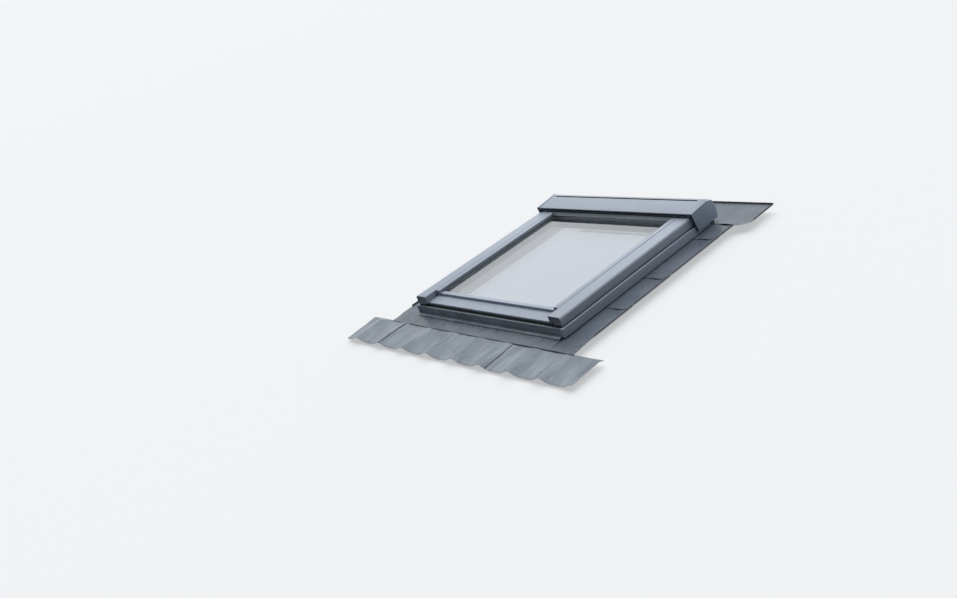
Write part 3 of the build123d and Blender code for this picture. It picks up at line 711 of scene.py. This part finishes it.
@dataclass
class Timber(Assembly):
    """The lacquered timber of the frame and the sash, and the foam collar round it."""

    arris: float = 2.5 * MM
    shortest: float = 30 * MM
    collar_arris: float = 1.5 * MM
    posts: tuple[str, ...] = pair("frame_jamb") + pair("sash_stile")
    rails: tuple[str, ...] = ("frame_bottom_rail", "frame_top_rail", "sash_bottom_rail", "sash_top_rail")

    def build(self) -> None:
        """Round the arrises of the members, and give the rails their own run of grain."""
        self.soften(self.posts, self.arris, 3, self.shortest)
        self.soften(self.rails, self.arris, 3, self.shortest, self.finishes.rail_timber)
        self.soften(("insulation_collar",), self.collar_arris, 2)


@dataclass
class Glazing(Assembly):
    """The two panes, what is between and round them, and the seals of the frame."""

    pane_arris: float = 0.8 * MM
    spacer_edge: float = 0.6 * MM
    lip: float = 0.7 * MM
    tape_edge: float = 0.4 * MM
    seal_round: float = 1.4 * MM

    def build(self) -> None:
        """Grind the panes' edges and round the rubber."""
        self.soften(("inner_pane", "outer_pane"), self.pane_arris, 1)
        self.soften(("pane_spacer",), self.spacer_edge, 2)
        self.soften(("glazing_gasket",), self.lip, 3)
        self.soften(("glazing_tape",), self.tape_edge, 1)
        self.soften(("lower_frame_seal", "upper_frame_seal"), self.seal_round, 3)


@dataclass
class Cladding(Assembly):
    """The lacquered sheet covers and their moulded ends."""

    edge: float = 0.45 * MM
    covers: tuple[str, ...] = (
        *pair("lower_side_cover"), *pair("sash_side_cladding"), "bottom_glazing_strip", "sash_bottom_cover")
    skirt: Point = (0.55, 0.0965, 4.5 * MM)
    # A darker copy of the lacquer's tone: painted shade for the covers that sit in shade.
    shaded_tone: Colour = (0.235, 0.268, 0.312)
    recessed_gap: float = 22 * MM
    channel_level: float = 88.0 * MM
    lip_level: float = 91.5 * MM
    upward: float = 0.3
    groove: Span = (0.5979, 0.6078)
    groove_brim: Point = (0.4816, 0.1714, 0.1129)
    groove_depths: Span = (0.3 * MM, 9 * MM)
    # Near black: the colour of the painted shade.
    painted_shade_tone: Colour = (0.035, 0.038, 0.042)
    nose_slot: tuple[Point, Point] = ((1.118, 0.012, 0.0105), (0.0, 0.4755, 0.16115))
    cap_edge: float = 1.4 * MM
    cap_shortest: float = 4 * MM
    cap_mouth: Point = (-0.85, 0.50, 0.168)
    plug_edge: float = 0.6 * MM
    plug_shortest: float = 3 * MM
    plug_panel: tuple[Point, Point] = ((0.048, 0.0032, 0.039), (0.529, -0.537, 0.1195))
    plug_tone: Colour = (0.135, 0.160, 0.195)
    # The near-black lacquer of the painted shade.
    grime_and_painted_shade: Material | None = field(default=None, init=False)

    def build(self) -> None:
        """Break the sheets' edges, mould the caps and plugs, and paint shade on the covers, grooves and edges
        that sit in shade.
        """
        self.soften(self.covers, self.edge, 2)
        # A near-black lacquer: painted shade for the hood's groove, the channel behind the front lip and the
        # caps' front edges.
        black = self.painted_shade_tone
        self.grime_and_painted_shade = SatinLacquer("satin_lacquer_painted_shade", tone=black, dust=black, grime_and_painted_shade=black, shade=black,
                                  roughness=0.7).build()
        # A darker copy of the lacquer, as painted shade on the covers that sit in shade.
        shaded_lacquer = SatinLacquer("satin_lacquer_shaded", tone=self.shaded_tone, gap=self.recessed_gap,
                             open_from=1.0).build()
        # Painted shade: the top cover under the hood is in the darker copy.
        self.soften(("sash_top_cover",), self.edge, 2, material=shaded_lacquer)
        self.front(shaded_lacquer)
        for node in pair("side_cover"):
            self.side(node)
        self.hood()
        for node in pair("hood_end_cap"):
            self.cap(node)
        plug_finish = MouldedPlastic("plug_plastic", self.plug_tone).build()
        for node in pair("side_cover_plug"):
            self.plug(node, plug_finish)

    def side(self, node: str) -> None:
        """A side cover, its skirt a little short of the ledge below it.

        Args:
            node: The modelled cover.
        """
        obj = self.copy_of(node)
        self.round_edges(obj, self.edge, 2)
        outer, foot, short = self.skirt
        for vertex in obj.data.vertices:
            if abs(vertex.co.x) > outer and vertex.co.z < foot:
                vertex.co.z += short
        self.hand_over(obj, node)

    def front(self, finish: Material) -> None:
        """The front cover: in a darker copy of the lacquer as painted shade, painted black as shade in the
        channel behind its lip, and in the plain lit lacquer on the lip itself.

        Args:
            finish: Its darker lacquer, painted shade.
        """
        node = "front_cover"
        obj = self.copy_of(node)
        self.round_edges(obj, self.edge, 2)
        self.hand_over(obj, node, finish)
        unshaded = self.finishes.by_slot[SLOT_OF[node]]
        # Painted shade: the channel behind the lip turns black; the lip itself keeps the plain, lit lacquer.
        for level, other in ((self.channel_level, self.grime_and_painted_shade), (self.lip_level, unshaded)):
            self.repaint(obj, other, lambda f, floor=level: (
                f.normal.z > self.upward and f.center.z > floor))

    def in_groove(self, face: MeshPolygon) -> bool:
        """Whether a face of the hood is a wall or the floor of its groove.

        Args:
            face: The face.

        Returns:
            True where it is.
        """
        start, end = self.groove
        foot, level, slope = self.groove_brim
        least, most = self.groove_depths
        middle = face.center
        depth = level + (middle.y - foot) * slope - middle.z
        return start < middle.y < end and least < depth < most

    def hood(self) -> None:
        """The hood, open under its nose, with black painted shade in the groove before its ridge."""
        obj = self.copy_of("hood")
        self.cut_away(obj, *self.nose_slot)
        self.round_edges(obj, self.edge, 2)
        self.hand_over(obj, "hood")
        # Painted shade: the groove's walls and floor turn black.
        self.repaint(obj, self.grime_and_painted_shade, self.in_groove)

    def cap(self, node: str) -> None:
        """An end cap, with black painted shade on the faces of its front edge that look down the slope.

        Args:
            node: The modelled cap.
        """
        obj = self.copy_of(node)
        self.round_edges(obj, self.cap_edge, 3, self.cap_shortest)
        self.hand_over(obj, node)
        # Painted shade: the faces of the front edge that look down the slope turn black.
        facing, behind, under = self.cap_mouth
        self.repaint(obj, self.grime_and_painted_shade, lambda f: (
            f.normal.y < facing and f.center.y < behind and f.center.z < under))

    def plug(self, node: str, finish: Material) -> None:
        """A plug with a sunk panel in the face that looks down the slope.

        Args:
            node: The modelled plug.
            finish: Its plastic.
        """
        obj = self.copy_of(node)
        size, (x, y, z) = self.plug_panel
        self.cut_away(obj, size, (math.copysign(x, obj.data.vertices[0].co.x), y, z))
        self.round_edges(obj, self.plug_edge, 2, self.plug_shortest)
        self.hand_over(obj, node, finish)


@dataclass
class Flashing(Assembly):
    """The dark flashing sheets round the window, with their lapped corners a little lifted."""

    edge: float = 0.35 * MM
    laps: tuple[int, ...] = (1, 2, 3)
    step: float = 12.0 * MM
    curl: float = 3.2 * MM
    curl_reach: float = 75.0 * MM
    curl_inset: float = 55.0 * MM
    curl_spread: float = 1.5
    cut_spread: float = 1.6
    curl_sway: Span = (0.5, 70.0)
    gutter_curl: float = 5.0 * MM
    gutter_reach: float = 60.0 * MM
    gutter_ends: Span = (0.60, 0.04)
    gutter_sway: Wave = (0.7, 0.6, 48.0, 1.0)
    head_zone: Point = (-0.648, -0.554, 0.715)
    head_fan: float = 0.12
    wrinkle: float = 3.6 * MM
    wrinkle_fade: float = 0.7
    wrinkles: tuple[Wave, ...] = ((1.0, 34.0, 1.2, 2.0), (0.5, 90.0, 2.0, 7.0))

    def cut_up(self, obj: Object, low: Vector, high: Vector) -> None:
        """Cut a sheet into strips both ways, so that it can bend.

        Args:
            obj: The sheet.
            low: Where the cuts start in X and Y.
            high: Where they end.
        """
        for axis in (0, 1):
            facing = Vector((1, 0, 0)) if axis == 0 else Vector((0, 1, 0))
            place = low[axis] + self.step
            while place < high[axis] - self.step / 2:
                self.open(obj, "FACE")
                bpy.ops.mesh.select_all(action="SELECT")
                bpy.ops.mesh.bisect(plane_co=facing * place, plane_no=facing)
                self.close()
                place += self.step

    def side(self, node: str) -> None:
        """A side flashing whose lower outer corner stands a little off the one below it.

        Args:
            node: The modelled flashing.
        """
        obj = self.copy_of(node)
        low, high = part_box(node)
        outward = 1 if high.x > 0 else -1
        outer = high.x if outward > 0 else low.x
        inner = outer - outward * self.curl_reach * self.cut_spread
        lifted = outer - outward * self.curl_inset
        sway, rate = self.curl_sway
        self.round_edges(obj, self.edge, 1)
        end = low.y + self.curl_reach
        self.cut_up(obj, Vector((min(outer, inner), low.y)), Vector((max(outer, inner), end)))
        for vertex in obj.data.vertices:
            off = max(0.0, 1 - (vertex.co.y - low.y) / self.curl_reach)
            across = max(0.0, 1 - abs(lifted - vertex.co.x) / (self.curl_spread * self.curl_reach))
            vertex.co.z += self.curl * off ** 2 * across * (1.0 + sway * math.sin(vertex.co.x * rate))
        self.smooth(obj)
        self.hand_over(obj, node)

    def gutter(self) -> None:
        """The back gutter, whose lower edges wave a little where they lie over the side flashings."""
        node = "back_gutter"
        obj = self.copy_of(node)
        low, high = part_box(node)
        start, blend = self.gutter_ends
        level, sway, rate, phase = self.gutter_sway
        self.round_edges(obj, self.edge, 1)
        self.cut_up(obj, Vector((low.x, low.y)), Vector((high.x, low.y + self.gutter_reach)))
        for vertex in obj.data.vertices:
            off = max(0.0, 1 - (vertex.co.y - low.y) / self.gutter_reach)
            across = min(1.0, max(0.0, (abs(vertex.co.x) - start) / blend))
            wave = level + sway * math.sin(abs(vertex.co.x) * rate + phase)
            vertex.co.z += self.gutter_curl * off ** 2 * across * wave
        self.smooth(obj)
        self.hand_over(obj, node)

    def head(self) -> None:
        """The flat head of the apron, with the shallow wrinkles left by dressing it down."""
        node = "apron_head"
        obj = self.copy_of(node)
        start, end, reach = self.head_zone
        self.round_edges(obj, self.edge, 1)
        self.cut_up(obj, Vector((-reach, start)), Vector((reach, end)))
        for vertex in obj.data.vertices:
            across = (vertex.co.y - start) / (end - start)
            if 0.0 < across < 1.0:
                fan = vertex.co.x * (1.0 - self.head_fan * across)
                rough = sum(uneven(wave, fan, across) for wave in self.wrinkles)
                vertex.co.z += self.wrinkle * rough * math.sin(math.pi * across) ** self.wrinkle_fade
        self.smooth(obj)
        self.hand_over(obj, node)

    def build(self) -> None:
        """Finish the head, the side flashings and the gutter."""
        self.head()
        for lap in self.laps:
            for node in pair(f"side_flashing_{lap}"):
                self.side(node)
        self.gutter()


@dataclass(frozen=True)
class Fold:
    """A fold that runs down from the crease of the apron, leaning a little."""

    place: float
    lean: float
    length: float
    width: float
    rise: float
    end: float = 3.0

    def lift(self, x: float, run: float) -> float:
        """How far it lifts the sheet.

        Args:
            x: The place across the slope.
            run: The share of the way from the crease to the edge.

        Returns:
            The lift in metres.
        """
        off = (x - self.place - self.lean * run) / self.width
        if abs(off) >= self.end or run >= self.length:
            return 0.0
        return self.rise * math.exp(-off * off) * (1 - run / self.length)


@dataclass
class DressedWidths(Assembly):
    """The three widths of the apron: broad troughs, narrow crests, and the marks of dressing by hand."""

    spans: dict[str, Point] = field(default_factory=lambda: {
        "apron_left": (-0.8995, -0.583, 1.8 * MM),
        "apron_middle": (-0.608, 0.300, 0.0),
        "apron_right": (0.275, 0.8995, -1.8 * MM)})
    crease: float = -0.644
    edge: float = -0.860
    sheet: float = 1.6 * MM
    crease_level: float = 28.5 * MM
    edge_level: float = 14.0 * MM
    pitch: float = 0.212
    crest: float = 0.047
    crest_shape: tuple[Span, ...] = ((0.76, 3.4), (0.24, 1.2))
    crease_rise: float = 0.8 * MM
    edge_rise: float = 20.0 * MM
    rise_growth: float = 0.62
    ridge_rise: float = 5.0 * MM
    ridge_width: float = 7.5 * MM
    ridge_fade: float = 0.6
    dressed_from: Span = (0.035, 0.08)
    sway: Wave = (2.4 * MM, 12.0, 1.6, 3.0)
    ripple: Wave = (0.6 * MM, 55.0, 4.0, 9.0)
    droop: Span = (1.6 * MM, 0.93)
    ragged: Wave = (1.0 * MM, 14.0, 0.0, 5.0)
    ragged_growth: float = 6.0
    column: float = 4.0 * MM
    rows: int = 54
    marks: int = 90
    marks_at_crests: float = 0.6
    marks_reach: float = 0.9
    crest_numbers: tuple[int, int] = (-5, 4)
    crest_scatter: float = 0.035
    fold_ranges: tuple[Span, ...] = ((-0.05, 0.05), (0.12, 0.8), (2.5 * MM, 7.0 * MM), (-1.3 * MM, 1.9 * MM))
    fold_margin: float = 0.08
    seed: int = 11

    def folds(self) -> list[Fold]:
        """The folds that run down from the crease, gathered near the crests.

        Returns:
            The folds of all three widths.
        """
        chance = random.Random(self.seed)
        found = []
        for _ in range(self.marks):
            place = chance.uniform(-self.marks_reach, self.marks_reach)
            if chance.random() < self.marks_at_crests:
                crest = self.crest + self.pitch * chance.randint(*self.crest_numbers)
                place = crest + chance.gauss(0.0, self.crest_scatter)
            found.append(Fold(place, *(chance.uniform(*limits) for limits in self.fold_ranges)))
        return found

    def height(self, x: float, run: float, folds: list[Fold]) -> float:
        """The height of the sheet's underside.

        Args:
            x: The place across the slope.
            run: The share of the way from the crease to the edge.
            folds: The folds that run down from the crease.

        Returns:
            The height in metres, before the lap.
        """
        swell = (1 + math.cos(2 * math.pi * (x - self.crest) / self.pitch)) / 2
        lift = sum(share * swell ** power for share, power in self.crest_shape)
        rise = self.crease_rise + (self.edge_rise - self.crease_rise) * run ** self.rise_growth
        level = self.crease_level + (self.edge_level - self.crease_level) * run + rise * lift
        hidden, blend = self.dressed_from
        shown = min(max((run - hidden) / blend, 0.0), 1.0)
        shown = shown * shown * (3 - 2 * shown)
        away = (x - self.crest + self.pitch / 2) % self.pitch - self.pitch / 2
        ridge = self.ridge_rise * math.exp(-(away / self.ridge_width) ** 2) * (1 - run) ** self.ridge_fade
        ridge += sum(fold.lift(x, run) for fold in folds)
        marks = ridge + uneven(self.sway, x, run) + uneven(self.ripple, x, run)
        sag, start = self.droop
        droop = sag * max(0.0, (run - start) / (1 - start)) ** 2 * (1 - lift)
        return level + shown * marks - droop

    def width(self, node: str) -> None:
        """One width, from a grid that is dressed to the roof and given its thickness.

        Args:
            node: The modelled width.
        """
        start, end, lap = self.spans[node]
        columns = round((end - start) / self.column)
        bpy.ops.mesh.primitive_grid_add(x_subdivisions=columns, y_subdivisions=self.rows, size=1.0)
        obj = bpy.context.object
        obj.name = f"{node}_finished"
        margin = self.fold_margin
        folds = [fold for fold in self.folds() if start - margin < fold.place < end + margin]
        for vertex in obj.data.vertices:
            x = start + (vertex.co.x + 0.5) * (end - start)
            run = 0.5 - vertex.co.y
            ragged = (self.ragged[0] + uneven(self.ragged, x, run)) * run ** self.ragged_growth
            y = self.crease + (self.edge - self.crease) * run + ragged
            vertex.co = (x, y, self.height(x, run, folds) + lap)
        wall = obj.modifiers.new("thickness", "SOLIDIFY")
        wall.thickness = self.sheet
        wall.offset = 1.0
        self.pick(obj)
        bpy.ops.object.modifier_apply(modifier=wall.name)
        self.smooth(obj)
        self.hand_over(obj, node)

    def build(self) -> None:
        """Dress the three widths."""
        for node in self.spans:
            self.width(node)


@dataclass
class Screws(Assembly):
    """Pan-head screws with a cross recess, one for each that the node holds."""

    node: str
    axis: int
    head_height: float
    head_radius: float
    shank_radius: float = 2.5 * MM
    sides: int = 24
    dome: tuple[Span, ...] = ((0.55, 1.0), (0.3, 0.9), (0.15, 0.72))
    recess: float = 1.3 * MM
    recess_share: float = 0.2

    def solids(self) -> list[tuple[Vector, Vector]]:
        """The box of each separate screw in the node.

        Returns:
            The lowest and highest corner of each.
        """
        mesh = bmesh.new()
        mesh.from_mesh(frame["nodes"][self.node].data)
        bmesh.ops.remove_doubles(mesh, verts=mesh.verts, dist=WELD)
        left = set(mesh.verts)
        boxes = []
        while left:
            group = {left.pop()}
            edge = list(group)
            while edge:
                near = {e.other_vert(v) for v in edge for e in v.link_edges} & left
                left -= near
                group |= near
                edge = list(near)
            low = Vector(min(v.co[i] for v in group) for i in range(3))
            high = Vector(max(v.co[i] for v in group) for i in range(3))
            boxes.append((low, high))
        mesh.free()
        return sorted(boxes, key=lambda box: tuple(box[0]))

    def one(self, length: float) -> Object:
        """One screw along Z, with the top of its head at the origin.

        Args:
            length: The whole length.

        Returns:
            The screw.
        """
        shank = length - self.head_height
        bpy.ops.mesh.primitive_cylinder_add(vertices=self.sides, radius=self.shank_radius, depth=shank,
                                            location=(0, 0, -self.head_height - shank / 2))
        obj = bpy.context.object
        bpy.ops.object.transform_apply()
        mesh = self.open(obj, "FACE")
        top = max(mesh.faces, key=lambda face: face.calc_center_median().z)
        top.select_set(True)
        bmesh.update_edit_mesh(obj.data)
        for share, scale in ((0.0, self.head_radius / self.shank_radius), *self.dome):
            move = {"value": (0, 0, self.head_height * share)}
            bpy.ops.mesh.extrude_region_move(TRANSFORM_OT_translate=move)
            bpy.ops.transform.resize(value=(scale, scale, 1.0), center_override=(0, 0, 0))
        self.close()
        slot = (self.head_radius, self.head_radius * self.recess_share, self.recess * 2)
        for turn in (0.0, math.pi / 2):
            self.cut_away(obj, slot, (0, 0, 0), turn)
        return obj

    def build(self) -> None:
        """Model each screw in its place, and join them."""
        placed = []
        for low, high in self.solids():
            screw = self.one(high[self.axis] - low[self.axis])
            middle = (low + high) / 2
            if self.axis == 2:
                turn = Matrix.Identity(4)
                middle.z = high.z
            else:
                outward = 1 if middle.x > 0 else -1
                turn = Matrix.Rotation(outward * math.pi / 2, 4, "Y")
                middle.x = high.x if outward > 0 else low.x
            screw.data.transform(Matrix.Translation(middle) @ turn)
            placed.append(screw)
        obj = placed[0]
        self.pick(obj)
        for screw in placed:
            screw.select_set(True)
        bpy.ops.object.join()
        obj.name = f"{self.node}_finished"
        self.smooth(obj)
        self.hand_over(obj, self.node)


@dataclass
class Fittings(Assembly):
    """The pivots, the brackets, the handle with its latch, the flap and the bolt."""

    plate_edge: float = 0.5 * MM
    cast_edge: float = 1.0 * MM
    plates: tuple[str, ...] = (*pair("frame_pivot"), *pair("sash_pivot"), "latch_keeper", "mounting_brackets")
    cast: tuple[str, ...] = ("handle_plate", "handle_lever", "ventilation_flap", "control_bar")
    turned: tuple[str, ...] = ("barrel_bolt", "bolt_box", "bolt_bush", "flap_bearings", "latch_tongue")
    cast_shortest: float = 4 * MM
    turned_shortest: float = 3 * MM
    screws: tuple[tuple[str, int, float, float], ...] = (
        ("front_cover_screws", 2, 2.0 * MM, 4.5 * MM), ("bracket_screws", 0, 2.5 * MM, 5.0 * MM))

    def build(self) -> None:
        """Round the fittings' edges and set their screws."""
        self.soften(self.plates, self.plate_edge, 2)
        self.soften(self.cast, self.cast_edge, 3, self.cast_shortest)
        self.soften(self.turned, self.plate_edge, 2, self.turned_shortest)
        for screw in self.screws:
            Screws(self.finishes, *screw).build()


@dataclass
class Studio:
    """The pale floor, the soft light and the camera at the photograph's viewing angle."""

    eye: Point = (4.230, -3.394, 2.280)
    line_of_sight: Point = (-0.76745, 0.51692, -0.37923)
    roll: float = 20.96
    lens: float = 41.02
    floor_size: float = 400.0
    floor_drop: float = 0.3 * MM
    floor_tone: Colour = (0.40, 0.405, 0.41)
    floor_glow: Colour = (0.90, 0.915, 0.93)
    floor_glow_strength: float = 0.52
    floor_bounce: Colour = (0.07, 0.072, 0.075)
    sky: Colour = (0.90, 0.915, 0.93)
    sky_light: Colour = (0.86, 0.93, 1.0)
    sky_strength: float = 0.07
    key_source: Point = (-0.26, 0.78, 1.0)
    key_distance: float = 4.0
    key_power: float = 3.85
    key_spread: float = 98.0

    def seen(self, tree: NodeTree) -> NodeSocket:
        """What the camera sees, straight on or in gloss and glass.

        Args:
            tree: The node tree to add to.

        Returns:
            A value's socket, 1 where it is so.
        """
        path = tree.nodes.new("ShaderNodeLightPath")
        value = path.outputs["Is Camera Ray"]
        for name in ("Is Glossy Ray", "Is Transmission Ray"):
            node = tree.nodes.new("ShaderNodeMath")
            node.operation = "MAXIMUM"
            tree.links.new(value, node.inputs[0])
            tree.links.new(path.outputs[name], node.inputs[1])
            value = node.outputs["Value"]
        return value

    def background(self) -> None:
        """A plain world: pale to the eye and in reflections, and soft on the object."""
        world = bpy.data.worlds.new("studio")
        bpy.context.scene.world = world
        world.use_nodes = True
        tree = world.node_tree
        tree.nodes.clear()
        mixed = tree.nodes.new("ShaderNodeMixShader")
        tree.links.new(self.seen(tree), mixed.inputs["Fac"])
        for slot, tone, strength in ((1, self.sky_light, self.sky_strength), (2, self.sky, 1.0)):
            node = tree.nodes.new("ShaderNodeBackground")
            node.inputs["Color"].default_value = (*tone, 1.0)
            node.inputs["Strength"].default_value = strength
            tree.links.new(node.outputs["Background"], mixed.inputs[slot])
        output = tree.nodes.new("ShaderNodeOutputWorld")
        tree.links.new(mixed.outputs["Shader"], output.inputs["Surface"])

    def floor(self) -> None:
        """A floor that looks pale, keeps the shadow and throws little light back at the window."""
        bpy.ops.mesh.primitive_plane_add(size=self.floor_size, location=(0, 0, -self.floor_drop))
        plane = bpy.context.object
        plane.name = "floor"
        g = Graph("floor_finish")
        seen = self.seen(g.tree)
        g.paint(g.mix(seen, self.floor_bounce, self.floor_tone))
        g.join(g.math("MULTIPLY", seen, self.floor_glow_strength), g.shader.inputs["Emission Strength"])
        g.fixed(Roughness=0.9, Specular_IOR_Level=0.1, Emission_Color=self.floor_glow)
        plane.data.materials.append(g.material)

    def light(self) -> None:
        """One wide soft light from above and behind, as under a pale sky, that no gloss or glass mirrors."""
        lamp = bpy.data.lights.new("key", "SUN")
        lamp.energy = self.key_power
        lamp.angle = math.radians(self.key_spread)
        obj = bpy.data.objects.new("key", lamp)
        source = Vector(self.key_source)
        obj.location = source * self.key_distance
        obj.rotation_euler = source.to_track_quat("Z", "Y").to_euler()
        obj.visible_glossy = False
        obj.visible_transmission = False
        bpy.context.scene.collection.objects.link(obj)

    def camera(self) -> None:
        """The camera, aimed along the line of sight and rolled as the photograph is."""
        lens = bpy.data.cameras.new("camera")
        lens.lens = self.lens
        obj = bpy.data.objects.new("camera", lens)
        obj.location = self.eye
        sight = Vector(self.line_of_sight).normalized()
        aim = sight.to_track_quat("-Z", "Y")
        obj.rotation_euler = (Quaternion(sight, math.radians(self.roll)) @ aim).to_euler()
        bpy.context.scene.collection.objects.link(obj)
        bpy.context.scene.camera = obj

    def build(self) -> None:
        """Set up the whole studio."""
        self.background()
        self.floor()
        self.light()
        self.camera()
        bpy.context.scene.view_settings.view_transform = "Standard"


def main() -> None:
    """Dress the window and set up the studio."""
    logging.basicConfig(level=logging.INFO, format="%(name)s: %(message)s")
    finishes = Finishes()
    for assembly in (Timber, Glazing, Cladding, Flashing, DressedWidths, Fittings):
        assembly(finishes).build()
    Studio().build()


if __name__ == "__main__":
    main()
